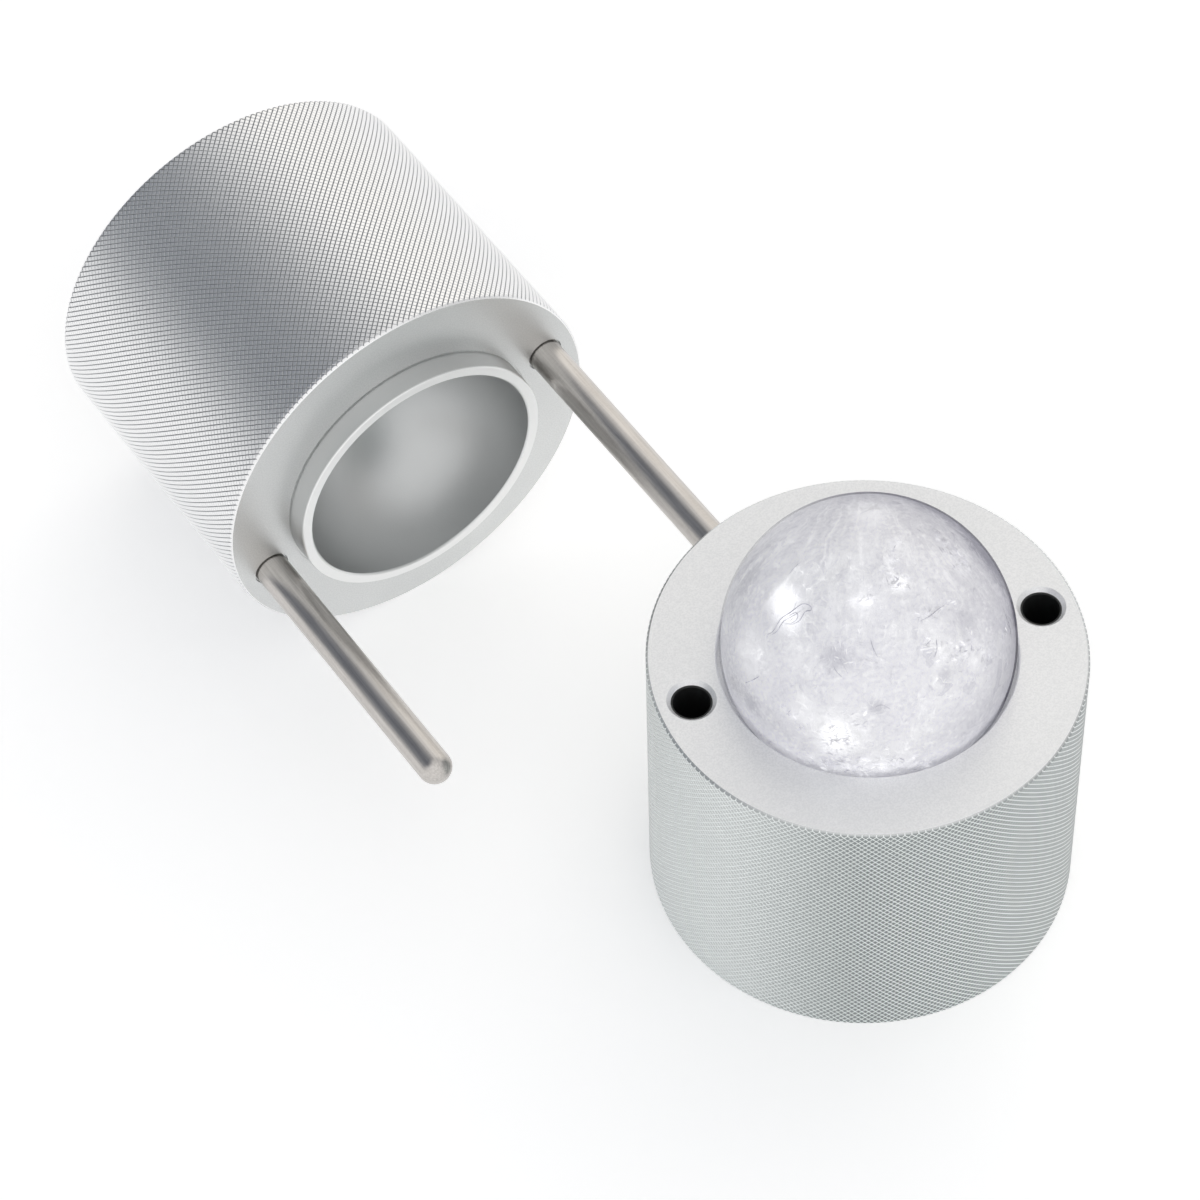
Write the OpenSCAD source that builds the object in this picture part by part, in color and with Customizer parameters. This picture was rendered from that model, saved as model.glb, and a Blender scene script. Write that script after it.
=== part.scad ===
// Ice ball press: two heavy round aluminium halves that melt a block of ice into a ball.
// The lower half stands upright with a ball in its seat. The upper half is taken off and
// lies on its side behind it, with its two guide rods pointing past the lower half.
// Millimetres, +Z up. The origin is the centre of the lower half's base, and the two
// guide bores lie on the X axis.

/* [Halves] */
// Width of the lower half's flat face, from the recess to the knurled side
face_w = 15.3; // [12.8:0.1:24]
// Height of each half
half_h = 74; // [60:1:100]
// Bevel on the outer edges of each half
edge_bevel = 0.5; // [0.3:0.1:1]

/* [Ball cavity] */
// Diameter of the ball that the closed halves leave
cavity_d = 59; // [45:1:76]
// Bevel on the cavity's mouth in the lower half
mouth_bevel = 1; // [0.5:0.1:1.5]
// Small bevel on the cavity's mouth in the upper half
lip_bevel = 0.4; // [0.2:0.1:0.6]

/* [Locating ring] */
// Wall of the ring round the upper cavity
ring_wall = 2.8; // [2:0.1:3.5]
// Height of the ring above the upper half's mating face
ring_h = 5.6; // [4:0.1:8]
// Bevel on the ring's outer edge
ring_bevel = 0.3; // [0.2:0.1:0.8]
// Width of the tool relief round the ring's foot
foot_w = 0.5; // [0.3:0.1:1]
// Depth of the tool relief
foot_h = 0.3; // [0.2:0.1:0.6]
// Clearance round the ring in the lower half's recess
ring_fit = 0.4; // [0.1:0.05:0.6]
// Clearance under the ring when the halves are closed
ring_gap = 0.2; // [0.1:0.05:0.5]
// Bevel on the recess's edge
recess_bevel = 0.3; // [0.2:0.1:0.6]

/* [Guide rods and bores] */
// Place of a rod's centre, as a share of the flat face's width from the recess outwards
rod_place_share = 0.477; // [0.46:0.01:0.54]
// Diameter of a guide rod
rod_d = 8; // [6:0.5:8.5]
// Length of a rod beyond the mating face, with its round end
rod_reach = 72; // [50:1:73]
// Depth that a rod is seated in the upper half
seat_depth = 22; // [12:1:40]
// Clearance round a seated rod
seat_fit = 0.02; // [0.01:0.005:0.04]
// Width of the relief groove round a rod at the mating face
relief_w = 0.45; // [0.3:0.05:1]
// Depth of the relief groove
relief_h = 0.8; // [0.5:0.1:3]
// Running clearance round a rod in its bush
run_fit = 0.08; // [0.03:0.01:0.1]
// Wall of a guide bush
bush_wall = 0.45; // [0.35:0.05:0.8]
// Clearance round a bush in its bore
bush_fit = 0.02; // [0.01:0.005:0.03]
// Bevel on the bore's two ends, which stops the bush short of the face
bore_bevel = 0.9; // [0.5:0.1:1.2]

/* [Ice ball] */
// How much wider the ice ball still is than the cavity
ball_extra = 5.4; // [3:0.2:5.8]
// Height of the ball's centre above the lower half's face
ball_rise = 4.2; // [3:0.2:7]
// Clearance between the ice and the metal that it rests on
ball_fit = 0.25; // [0.1:0.05:0.4]

/* [Lying upper half] */
// Gap between the right rod's tip and the side of the lower half
lay_gap = 0.3; // [0.2:0.1:30]
// Where the right rod's tip points at the lower half, as an angle from the +X axis
lay_bearing = 111; // [100:1:125]
// Angle that the lying half's rods turn towards the lower half
lay_turn = 17; // [12:1:22]

/* [Hidden] */
$fn = 96;
over = 0.1;                                      // how far a cut runs past a face
cavity_r = cavity_d / 2;
ball_r = cavity_r + ball_extra / 2;
rod_r = rod_d / 2;
ring_r = cavity_r + ring_wall;
recess_r = ring_r + ring_fit;
recess_h = ring_h + ring_gap;
body_r = recess_r + face_w;
guide_x = recess_r + face_w * rod_place_share;
bush_in_r = rod_r + run_fit;
bush_out_r = bush_in_r + bush_wall;
bore_r = bush_out_r + bush_fit;
bush_len = half_h - 2 * bore_bevel;
seat_r = rod_r + seat_fit;
relief_r = rod_r + relief_w;
floor_z = half_h - recess_h;                     // the recess's floor
ball_z = half_h + ball_rise;
// The ball cavity's centre lies level with the ring's end when the halves are closed
cavity_z = floor_z + ring_gap;
// The lying half's mating face, from where the right rod's tip has to be
tip_out = body_r + lay_gap;
lay_x = tip_out * cos(lay_bearing) - rod_reach * sin(lay_turn)
    - guide_x * cos(lay_turn) * cos(lay_turn);
lay_y = tip_out * sin(lay_bearing) + rod_reach * cos(lay_turn)
    - guide_x * cos(lay_turn) * sin(lay_turn);
metal = [0.80, 0.81, 0.82];
steel = [0.72, 0.70, 0.68];
liner = [0.05, 0.05, 0.06];
ice = [0.86, 0.87, 0.93, 0.85];

// A round body with both outer edges bevelled, standing on the XY plane
module bevelled_body() {
    rotate_extrude()
        polygon([[0, 0], [body_r - edge_bevel, 0], [body_r, edge_bevel],
                 [body_r, half_h - edge_bevel], [body_r - edge_bevel, half_h], [0, half_h]]);
}

// A cone that bevels a round edge of radius r, opening upwards to the plane at z = 0
module edge_cone(r, bevel) {
    translate([0, 0, -bevel])
        cylinder(h = bevel + over, r1 = r, r2 = r + bevel + over);
}

// Both guide places, with the children drawn at each
module at_guides() {
    for (side = [-1, 1])
        translate([side * guide_x, 0, 0])
            children();
}

// A through bore for a bush, bevelled at both ends
module guide_bore() {
    translate([0, 0, -over])
        cylinder(h = half_h + 2 * over, r = bore_r);
    translate([0, 0, half_h])
        edge_cone(bore_r, bore_bevel);
    mirror([0, 0, 1])
        edge_cone(bore_r, bore_bevel);
}

module lower_mould() {
    color(metal)
        difference() {
            bevelled_body();
            translate([0, 0, floor_z])
                cylinder(h = recess_h + over, r = recess_r);
            translate([0, 0, half_h])
                edge_cone(recess_r, recess_bevel);
            translate([0, 0, floor_z])
                edge_cone(cavity_r, mouth_bevel);
            translate([0, 0, cavity_z])
                sphere(r = cavity_r);
            at_guides() guide_bore();
        }
}

// A thin liner tube pressed into a guide bore
module guide_bush(side) {
    color(liner)
        translate([side * guide_x, 0, bore_bevel])
            difference() {
                cylinder(h = bush_len, r = bush_out_r);
                translate([0, 0, -over])
                    cylinder(h = bush_len + 2 * over, r = bush_in_r);
            }
}

module left_guide_bush() { guide_bush(-1); }
module right_guide_bush() { guide_bush(1); }

// The ball, melted to the cavity's shape where it is sunk in it, with the ledge that this
// leaves round it on the recess's floor
module ice_ball() {
    color(ice)
        intersection() {
            translate([0, 0, ball_z])
                sphere(r = ball_r);
            union() {
                translate([0, 0, cavity_z])
                    sphere(r = cavity_r - ball_fit);
                translate([0, 0, floor_z + ball_fit])
                    cylinder(h = ball_z + ball_r - floor_z, r = recess_r);
            }
        }
}

// The upper half is drawn with its mating face on the XY plane and its rods along +Z,
// and this lays it on its side behind the lower half
module lying() {
    translate([lay_x, lay_y, body_r])
        rotate([90, 0, lay_turn])
            rotate([0, 0, lay_turn])
                children();
}

// A rod's seat, with the relief groove at its mouth
module rod_seat() {
    translate([0, 0, -seat_depth])
        cylinder(h = seat_depth + over, r = seat_r);
    translate([0, 0, -relief_h])
        cylinder(h = relief_h + over, r = relief_r);
}

// The groove that the turning tool leaves round the ring's foot
module foot_relief() {
    translate([0, 0, -foot_h])
        difference() {
            cylinder(h = foot_h + over, r = ring_r + foot_w);
            translate([0, 0, -over])
                cylinder(h = foot_h + 3 * over, r = ring_r);
        }
}

// The ring round the cavity's mouth, with its outer edge bevelled
module locating_ring() {
    cylinder(h = ring_h - ring_bevel, r = ring_r);
    translate([0, 0, ring_h - ring_bevel])
        cylinder(h = ring_bevel, r1 = ring_r, r2 = ring_r - ring_bevel);
}

module upper_mould() {
    color(metal)
        lying()
            difference() {
                union() {
                    translate([0, 0, -half_h])
                        bevelled_body();
                    locating_ring();
                }
                translate([0, 0, ring_h])
                    sphere(r = cavity_r);
                translate([0, 0, ring_h])
                    edge_cone(cavity_r, lip_bevel);
                at_guides() rod_seat();
                foot_relief();
            }
}

// A rod with a round end, seated in the upper half
module guide_rod(side) {
    color(steel)
        lying()
            translate([side * guide_x, 0, -seat_depth]) {
                cylinder(h = seat_depth + rod_reach - rod_r, r = rod_r);
                translate([0, 0, seat_depth + rod_reach - rod_r])
                    sphere(r = rod_r);
            }
}

module left_guide_rod() { guide_rod(-1); }
module right_guide_rod() { guide_rod(1); }

lower_mould();
left_guide_bush();
right_guide_bush();
ice_ball();
upper_mould();
left_guide_rod();
right_guide_rod();
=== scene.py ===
import math
import random

import bmesh
import bpy
import numpy as np
from mathutils import Matrix, Vector, noise
from mathutils.geometry import delaunay_2d_cdt


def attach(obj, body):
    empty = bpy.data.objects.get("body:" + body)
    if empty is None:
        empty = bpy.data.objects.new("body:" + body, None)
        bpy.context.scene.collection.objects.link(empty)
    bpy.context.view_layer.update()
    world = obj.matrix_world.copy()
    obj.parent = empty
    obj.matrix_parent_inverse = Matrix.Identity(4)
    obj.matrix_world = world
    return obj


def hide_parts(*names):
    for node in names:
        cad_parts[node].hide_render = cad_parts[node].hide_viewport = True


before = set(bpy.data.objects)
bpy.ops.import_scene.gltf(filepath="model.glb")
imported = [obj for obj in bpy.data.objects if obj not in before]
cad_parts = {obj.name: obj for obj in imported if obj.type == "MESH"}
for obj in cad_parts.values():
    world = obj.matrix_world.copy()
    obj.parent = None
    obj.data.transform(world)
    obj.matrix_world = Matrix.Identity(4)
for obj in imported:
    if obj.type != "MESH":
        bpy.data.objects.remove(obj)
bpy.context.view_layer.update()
scene = bpy.context.scene
mm = 0.001
tiny = 1e-7
black, white = (0, 0, 0, 1), (1, 1, 1, 1)
print("frame loaded:", ", ".join(sorted(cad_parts)))


# Node wiring, used for materials, the world and the geometry trees

class Wire:
    def __init__(self, board, socket):
        self.board = board
        self.socket = socket

    def math(self, operation, *others):
        return self.board.math(operation, self, *others)

    def __add__(self, other):
        return self.math("ADD", other)

    def __radd__(self, other):
        return self.board.math("ADD", other, self)

    def __sub__(self, other):
        return self.math("SUBTRACT", other)

    def __rsub__(self, other):
        return self.board.math("SUBTRACT", other, self)

    def __mul__(self, other):
        return self.math("MULTIPLY", other)

    def __rmul__(self, other):
        return self.board.math("MULTIPLY", other, self)

    def __truediv__(self, other):
        return self.math("DIVIDE", other)

    def __rtruediv__(self, other):
        return self.board.math("DIVIDE", other, self)

    def __pow__(self, other):
        return self.math("POWER", other)


class Board:
    def __init__(self, tree, owner=None):
        self.tree = tree
        self.owner = owner
        self.placed = 0

    def node(self, kind, settings=None, values=None, out=0):
        made = self.tree.nodes.new(kind)
        made.location = (self.placed % 12 * 190, -(self.placed // 12) * 260)
        self.placed += 1
        for name, value in (settings or {}).items():
            setattr(made, name, value)
        for name, value in (values or {}).items():
            self.feed(made.inputs[name], value)
        return Wire(self, made.outputs[out]) if len(made.outputs) else made

    def feed(self, socket, value):
        if isinstance(value, Wire):
            self.tree.links.new(value.socket, socket)
        elif value is not None:
            socket.default_value = value

    def math(self, operation, *terms):
        return self.node("ShaderNodeMath", {"operation": operation}, dict(enumerate(terms)))

    def vector(self, operation, *terms, out=0):
        return self.node("ShaderNodeVectorMath", {"operation": operation}, dict(enumerate(terms)), out)

    def dot(self, first, second):
        return self.vector("DOT_PRODUCT", first, second, out=1)

    def scaled(self, vector, factor):
        return self.vector("SCALE", vector, None, None, factor)

    def join(self, x, y, z):
        return self.node("ShaderNodeCombineXYZ", None, {0: x, 1: y, 2: z})

    def split(self, vector):
        made = self.node("ShaderNodeSeparateXYZ", None, {0: vector})
        return [Wire(self, made.socket.node.outputs[i]) for i in range(3)]

    def blend(self, factor, first, second, way="MIX"):
        return self.node("ShaderNodeMix", {"data_type": "RGBA", "blend_type": way},
                         {0: factor, 6: first, 7: second}, out=2)

    def ramp(self, value, start, full, low=0.0, high=1.0):
        return self.node("ShaderNodeMapRange", {"interpolation_type": "SMOOTHSTEP"},
                         {"Value": value, "From Min": start, "From Max": full, "To Min": low, "To Max": high})

    def cloud(self, vector, scale, detail, roughness, twist=0.0, out=0):
        return self.node("ShaderNodeTexNoise", None,
                         {"Vector": vector, "Scale": scale, "Detail": detail,
                          "Roughness": roughness, "Distortion": twist}, out)

    def attribute(self, name):
        return self.node("ShaderNodeAttribute", {"attribute_name": name}, out=2)

    def bump(self, strength, distance, height):
        return self.node("ShaderNodeBump", None,
                         {"Strength": strength, "Distance": distance, "Height": height})

    def place(self, centre=(0, 0, 0), turn=(0, 0, 0)):
        # Where a point lies, seen from a piece's own centre and turn
        where = self.node("ShaderNodeTexCoord", out=3)
        return self.node("ShaderNodeMapping", {"vector_type": "TEXTURE"},
                         {"Vector": where, "Location": centre, "Rotation": turn})

    def surface(self, values):
        return self.node("ShaderNodeBsdfPrincipled", None, values)

    def shape(self, thing):
        return self.node("GeometryNodeObjectInfo", {"transform_space": "ORIGINAL"},
                         {"Object": thing}, out="Geometry")

    def real(self, geometry):
        return self.node("GeometryNodeRealizeInstances", None, {"Geometry": geometry})

    def marked(self, label, kind):
        return self.node("GeometryNodeInputNamedAttribute", {"data_type": kind}, {"Name": label})

    def close(self, shader):
        self.node("ShaderNodeOutputMaterial", None, {"Surface": shader})
        return self.owner


def emptied(owner):
    owner.use_nodes = True
    owner.node_tree.nodes.clear()
    return Board(owner.node_tree, owner)


def newFinish(name):
    return emptied(bpy.data.materials.new(name))


# Geometry trees and meshes

def newTree(name, inputs, output):
    tree = bpy.data.node_groups.new(name, "GeometryNodeTree")
    for label, kind in inputs:
        tree.interface.new_socket(label, in_out="INPUT", socket_type="NodeSocket" + kind)
    tree.interface.new_socket(output, in_out="OUTPUT", socket_type="NodeSocketGeometry")
    board = Board(tree)
    entry = tree.nodes.new("NodeGroupInput")
    return board, {label: Wire(board, entry.outputs[label]) for label, _ in inputs}


def closeTree(board, geometry, finish):
    painted = board.node("GeometryNodeSetMaterial", None, {"Geometry": geometry, "Material": finish})
    leave = board.tree.nodes.new("NodeGroupOutput")
    board.tree.links.new(painted.socket, leave.inputs[0])
    return board.tree


def grown(host, tree, values, spare=()):
    # The plain mesh that a geometry tree makes of its host; the host and spare objects go
    modifier = host.modifiers.new(tree.name, "NODES")
    modifier.node_group = tree
    for item in tree.interface.items_tree:
        if item.name in values:
            modifier[item.identifier] = values[item.name]
    graph = bpy.context.evaluated_depsgraph_get()
    mesh = bpy.data.meshes.new_from_object(host.evaluated_get(graph), depsgraph=graph)
    mesh.name = tree.name
    for part in (host, *spare):
        bpy.data.objects.remove(part)
    return mesh


def plainMesh(name, points, edges, faces):
    mesh = bpy.data.meshes.new(name)
    mesh.from_pydata(points, edges, faces)
    return mesh


def mark(mesh, label, values, kind="FLOAT", field="value"):
    mesh.attributes.new(label, kind, "POINT").data.foreach_set(field, values)


def placed(name, data):
    made = bpy.data.objects.new(name, data)
    scene.collection.objects.link(made)
    return made


def welded(name, bm, reach):
    bmesh.ops.remove_doubles(bm, verts=bm.verts, dist=reach)
    bmesh.ops.recalc_face_normals(bm, faces=bm.faces)
    loose = sum(1 for edge in bm.edges if not edge.is_manifold)
    triangles = sum(len(face.verts) - 2 for face in bm.faces)
    mesh = bpy.data.meshes.new(name)
    bm.to_mesh(mesh)
    bm.free()
    print(name, "has", triangles, "triangles and", loose, "open edges")
    return mesh


def finished(mesh, material, smooth, matrix=Matrix.Identity(4)):
    # Edges sharper than the smooth angle stay sharp
    mesh.transform(matrix)
    mesh.materials.append(material)
    mesh.polygons.foreach_set("use_smooth", [True] * len(mesh.polygons))
    mesh.set_sharp_from_angle(angle=smooth)
    return placed(mesh.name, mesh)


# The two halves of the press

mould = {
    "radius": 48.0 * mm,
    "height": 74.0 * mm,
    "edgeBevel": 0.5 * mm,
    "cavityRadius": 29.5 * mm,
    "mouthBevel": 1.0 * mm,
    "lipBevel": 0.4 * mm,
    "ringRadius": 32.3 * mm,
    "ringHeight": 5.6 * mm,
    "ringBevel": 0.3 * mm,
    "footWidth": 0.5 * mm,
    "footDepth": 0.3 * mm,
    "recessRadius": 32.7 * mm,
    "recessDepth": 5.8 * mm,
    "recessBevel": 0.3 * mm,
    "ringGap": 0.2 * mm,
    "guideX": 39.9981 * mm,
    "boreRadius": 4.55 * mm,
    "boreBevel": 0.9 * mm,
    "seatRadius": 4.02 * mm,
    "seatDepth": 22.0 * mm,
    "reliefRadius": 4.45 * mm,
    "reliefDepth": 0.8 * mm,
    "turnedPoints": 128,
    "borePoints": 32,
    "bowlRings": 22,
}
knurl = {
    "around": 200,
    "along": 47,
    "flatShare": 0.7,
    "depth": 0.24 * mm,
    "smooth": math.radians(28),
    "tileWeld": 0.008 * mm,
    "bodyWeld": 0.003 * mm,
    "touch": 0.002 * mm,
}
# Where the upper half lies: its mating face's centre, and how far it is turned
lying = {"face": Vector((-74.93895, 102.76255, 48.0)) * mm, "turn": math.radians(17)}
lyingMatrix = (Matrix.Translation(lying["face"]) @ Matrix.Rotation(lying["turn"], 4, "Z")
               @ Matrix.Rotation(math.radians(90), 4, "X") @ Matrix.Rotation(lying["turn"], 4, "Z"))
lyingPlace = (lying["face"], lyingMatrix.to_euler("XYZ"))


def mouldFinish(name, values):
    board = newFinish(name)
    where = board.place(*values["place"])
    pits, knurled, inBowl = (board.attribute(label) for label in ("groove", "knurled", "bowl"))
    mist = board.cloud(where, values["mistScale"], 3.0, 0.55)
    blast = board.cloud(where, values["blastScale"], 2.0, 0.6)
    fine = board.cloud(where, values["blastScale"] * 2.6, 1.0, 0.5)
    across = board.vector("LENGTH", board.vector("MULTIPLY", where, (1, 1, 0)), out=1)
    # Painted light on the edge bevel: lighter on the upper half, darker on the lower
    flatEnd = mould["radius"] - mould["edgeBevel"]
    turnedEdge = (board.ramp(across, *(flatEnd + reach for reach in values["edgeFeather"]))
                  * (1 - knurled))
    # Painted light: the ring's top is painted lighter and its outer wall darker
    near, far = values["ringFeather"]
    onRing = board.ramp(board.split(where)[2], near, far) * (1 - inBowl) * values["ringShare"]
    onWall = onRing * board.ramp(across, mould["ringRadius"] - far, mould["ringRadius"] - near)
    base = board.blend(board.ramp(mist, 0.3, 0.7), values["colourDeep"], values["colour"])
    # Over the blast grain, painted light and shade on the edge bevel, the cavity, the ring and the knurl
    # crests
    for share, colour in ((board.ramp(blast, 0.35, 0.65) * values["speckle"], "speckColour"),
                          (turnedEdge, "edgePaintedLight"), (inBowl, "bowlPaintedShade"), (onRing, "ringTopPaintedLight"),
                          (onWall, "ringWallPaintedShade"), (knurled * values["crestShare"], "crestPaintedLight")):
        base = board.blend(share, base, values[colour])
    # Painted light: the crests are painted lighter towards one side and darker towards another, as light
    # falls on them
    for way, start, full, share, colour in values["sides"]:
        toward = board.dot(where, way) / mould["radius"]
        base = board.blend(board.ramp(toward, start, full) * knurled * share, base, colour)
    # Painted light in the grooves: painted shade on the upper half, a painted highlight on the lower
    pitLightShare = board.ramp(pits, values["pitFrom"], values["pitFull"]) * values["pitShare"]
    return board.close(board.surface({
        "Base Color": board.blend(pitLightShare, base, values["pitPaintedLight"]),
        "Roughness": values["roughness"] + (mist - 0.5) * values["mistRough"]
        + (fine - 0.5) * values["blastRough"] + pits * values["pitRough"] - turnedEdge * values["edgeShine"],
        "Metallic": 1 - pits * values["pitHaze"] - (1 - knurled) * values["faceHaze"],
        "Normal": board.bump(values["bump"], values["bumpDepth"], blast * (1 - pits))}))


# What both halves share, unless one of them gives its own value
mouldLook = {
    "place": (),
    # painted shade: the cavity is painted darker than the face
    "bowlPaintedShade": (0.57, 0.58, 0.58, 1),
    # painted light on the edge bevel
    "edgePaintedLight": (0.96, 0.96, 0.96, 1),
    # painted light on the ring's top and painted shade on its outer wall
    "ringTopPaintedLight": (0.90, 0.905, 0.90, 1),
    "ringWallPaintedShade": (0.62, 0.628, 0.625, 1),
    "ringShare": 0.0,
    "ringFeather": (0.05 * mm, 0.25 * mm),
    "edgeFeather": (-0.06 * mm, 0.02 * mm),
    # painted light on the knurl by default: lighter crests as a painted highlight, darker grooves as painted
    # shade
    "crestPaintedLight": (0.93, 0.93, 0.935, 1),
    "crestShare": 0.85,
    "pitPaintedLight": (0.30, 0.315, 0.33, 1),
    "pitShare": 0.85,
    "pitFrom": 0.05,
    "pitFull": 1.0,
    "pitHaze": 0.0,
    "faceHaze": 0.0,
    "pitRough": 0.1,
    "speckle": 0.42,
    "roughness": 0.38,
    "mistRough": 0.06,
    "blastRough": 0.08,
    "edgeShine": 0.16,
    "bump": 0.45,
    "bumpDepth": 0.05 * mm,
    "mistScale": 45.0,
    "blastScale": 2600.0,
    "sides": [],
}


def diamondTile(name, cutInHalf):
    # A flat-topped diamond, or the half of it that runs out through a half's edge bevel
    wide = math.tau * mould["radius"] / knurl["around"] / 2
    tall = (mould["height"] - 2 * mould["edgeBevel"]) / knurl["along"] / 2
    flat, deep, edge = knurl["flatShare"], knurl["depth"], mould["edgeBevel"]
    if cutInHalf:
        points = [(-wide, 0, -deep), (wide, 0, -deep), (0, tall, -deep), (-flat * wide, 0, 0),
                  (flat * wide, 0, 0), (0, flat * tall, 0), (-wide, -edge, -edge), (wide, -edge, -edge)]
        faces = [(3, 4, 5), (0, 3, 5, 2), (1, 2, 5, 4), (0, 6, 3), (6, 7, 4, 3), (7, 1, 4)]
    else:
        corners = [(wide, 0), (0, tall), (-wide, 0), (0, -tall)]
        points = [(x, y, -deep) for x, y in corners] + [(flat * x, flat * y, 0) for x, y in corners]
        faces = [(4, 5, 6, 7)] + [(i, (i + 1) % 4, 4 + (i + 1) % 4, 4 + i) for i in range(4)]
    return placed(name, plainMesh(name, points, [], faces))


def knurlTree():
    board, given = newTree("diamondKnurl", (
        ("Diamond", "Geometry"), ("Edge diamond", "Object"), ("Radius", "Float"), ("Length", "Float"),
        ("Start height", "Float"), ("Groove depth", "Float"), ("Diamonds around", "Int"),
        ("Diamonds along", "Int"), ("Weld reach", "Float"), ("Finish", "Material")), "Knurl")
    radius, length, deep = given["Radius"], given["Length"], given["Groove depth"]
    around, along = given["Diamonds around"], given["Diamonds along"]
    pitch = radius * math.tau / around
    rise = length / along
    count = board.node("GeometryNodeInputIndex")
    column = count.math("MODULO", around)
    row = (count / around).math("FLOOR") + 1
    spot = board.join((column + row.math("MODULO", 2) * 0.5) * pitch, row * rise * 0.5, 0.0)
    field = board.node("GeometryNodePoints", None, {"Count": around * (along * 2 - 1), "Position": spot})
    tiles = board.node("GeometryNodeInstanceOnPoints", None,
                       {"Points": field, "Instance": given["Diamond"]})
    edgeTile = board.shape(given["Edge diamond"])
    parts = [tiles]
    for height, turn in ((0.0, 0.0), (length, math.pi)):
        row = board.node("GeometryNodePoints", None,
                         {"Count": around, "Position": board.join(count * pitch, height, 0.0)})
        parts.append(board.node("GeometryNodeInstanceOnPoints", None,
                                {"Points": row, "Instance": edgeTile, "Rotation": (0, 0, turn)}))
    gathered = board.node("GeometryNodeJoinGeometry")
    for part in parts:
        board.feed(gathered.socket.node.inputs[0], part)
    real = board.real(gathered)

    # Grooves run out through the edge bevels
    flatX, flatY, flatZ = board.split(board.node("GeometryNodeInputPosition"))
    inGroove = flatZ.math("LESS_THAN", deep * -0.5)
    atLow = flatY.math("ABSOLUTE").math("LESS_THAN", knurl["touch"]) * inGroove
    atHigh = (flatY - length).math("ABSOLUTE").math("LESS_THAN", knurl["touch"]) * inGroove
    runOut = board.node("GeometryNodeSetPosition", None,
                        {"Geometry": real, "Offset": board.join(0.0, (atHigh - atLow) * deep, 0.0)})

    # The flat field is wrapped round the body
    flatX, flatY, flatZ = board.split(board.node("GeometryNodeInputPosition"))
    angle, reach = flatX / radius, flatZ + radius
    wrapped = board.node("GeometryNodeSetPosition", None,
                         {"Geometry": runOut, "Position": board.join(
                             angle.math("COSINE") * reach, angle.math("SINE") * reach,
                             flatY + given["Start height"])})
    joined = board.node("GeometryNodeMergeByDistance", None,
                        {"Geometry": wrapped, "Distance": given["Weld reach"]})
    return closeTree(board, joined, given["Finish"])


def makeKnurl(finish):
    edge = diamondTile("edgeDiamond", True)
    return grown(diamondTile("diamond", False), knurlTree(), {
        "Edge diamond": edge, "Radius": mould["radius"],
        "Length": mould["height"] - 2 * mould["edgeBevel"], "Start height": mould["edgeBevel"],
        "Groove depth": knurl["depth"], "Diamonds around": knurl["around"],
        "Diamonds along": knurl["along"], "Weld reach": knurl["tileWeld"], "Finish": finish}, [edge])


def circle(radius, count, x=0.0, start=0.0):
    return [(x + radius * math.cos(start + math.tau * i / count),
             radius * math.sin(start + math.tau * i / count)) for i in range(count)]


def turned(bm, profile, count, x=0.0):
    # A surface turned round the vertical line at x; a point on the line closes it
    rings = [[bm.verts.new((px, py, height)) for px, py in circle(radius, count, x)]
             if radius > tiny else [bm.verts.new((x, 0, height))] for radius, height in profile]
    for low, high in zip(rings, rings[1:]):
        for i in range(count):
            corners = [low[i % len(low)], low[(i + 1) % len(low)],
                       high[(i + 1) % len(high)], high[i % len(high)]]
            bm.faces.new(list(dict.fromkeys(corners)))


def flatFace(bm, height, outline, holes):
    # A flat face between the outline and its round holes, each a (radius, count, x)
    loops = [outline] + [circle(*hole) for hole in holes]
    points, edges = [], []
    for loop in loops:
        first = len(points)
        points += [Vector(p) for p in loop]
        edges += [(first + i, first + (i + 1) % len(loop)) for i in range(len(loop))]
    found, _, faces, *_ = delaunay_2d_cdt(points, edges, [], 1, 1e-9)
    corners = [bm.verts.new((p.x, p.y, height)) for p in found]
    for face in faces:
        mid = sum((found[i] for i in face), Vector((0, 0))) / len(face)
        if all((mid - Vector((x, 0))).length > radius * math.cos(math.pi / count)
               for radius, count, x in holes):
            bm.faces.new([corners[i] for i in face])


def dome(radius, centre, mouth, rings, way=-1):
    # Profile points from the dome's mouth to its pole, which lies below its centre or above it
    start = math.acos(min(1.0, mouth / radius))
    angles = [start + (math.pi / 2 - start) * i / rings for i in range(rings)]
    return [(radius * math.cos(angle), centre + way * radius * math.sin(angle))
            for angle in angles] + [(0.0, centre + way * radius)]


def paintMould(mesh, low):
    # Tells the finish how deep each point lies in a groove, and if it is in the knurl or the cavity
    points = np.empty(len(mesh.vertices) * 3, np.float32)
    mesh.vertices.foreach_get("co", points)
    points = points.reshape(-1, 3)
    radius, span = np.hypot(points[:, 0], points[:, 1]), points[:, 2] - low
    depth, edge = 1.05 * knurl["depth"], mould["edgeBevel"]
    inBand = ((radius > mould["radius"] - depth) & (span > edge - depth)
              & (span < mould["height"] - edge + depth))
    groove = np.where(inBand, np.clip((mould["radius"] - radius) / knurl["depth"], 0, 1), 0)
    inBowl = (radius < mould["cavityRadius"] + 0.05 * mm) & (span > edge)
    for label, values in (("groove", groove), ("knurled", inBand), ("bowl", inBowl)):
        mark(mesh, label, values.astype(np.float32))


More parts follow.
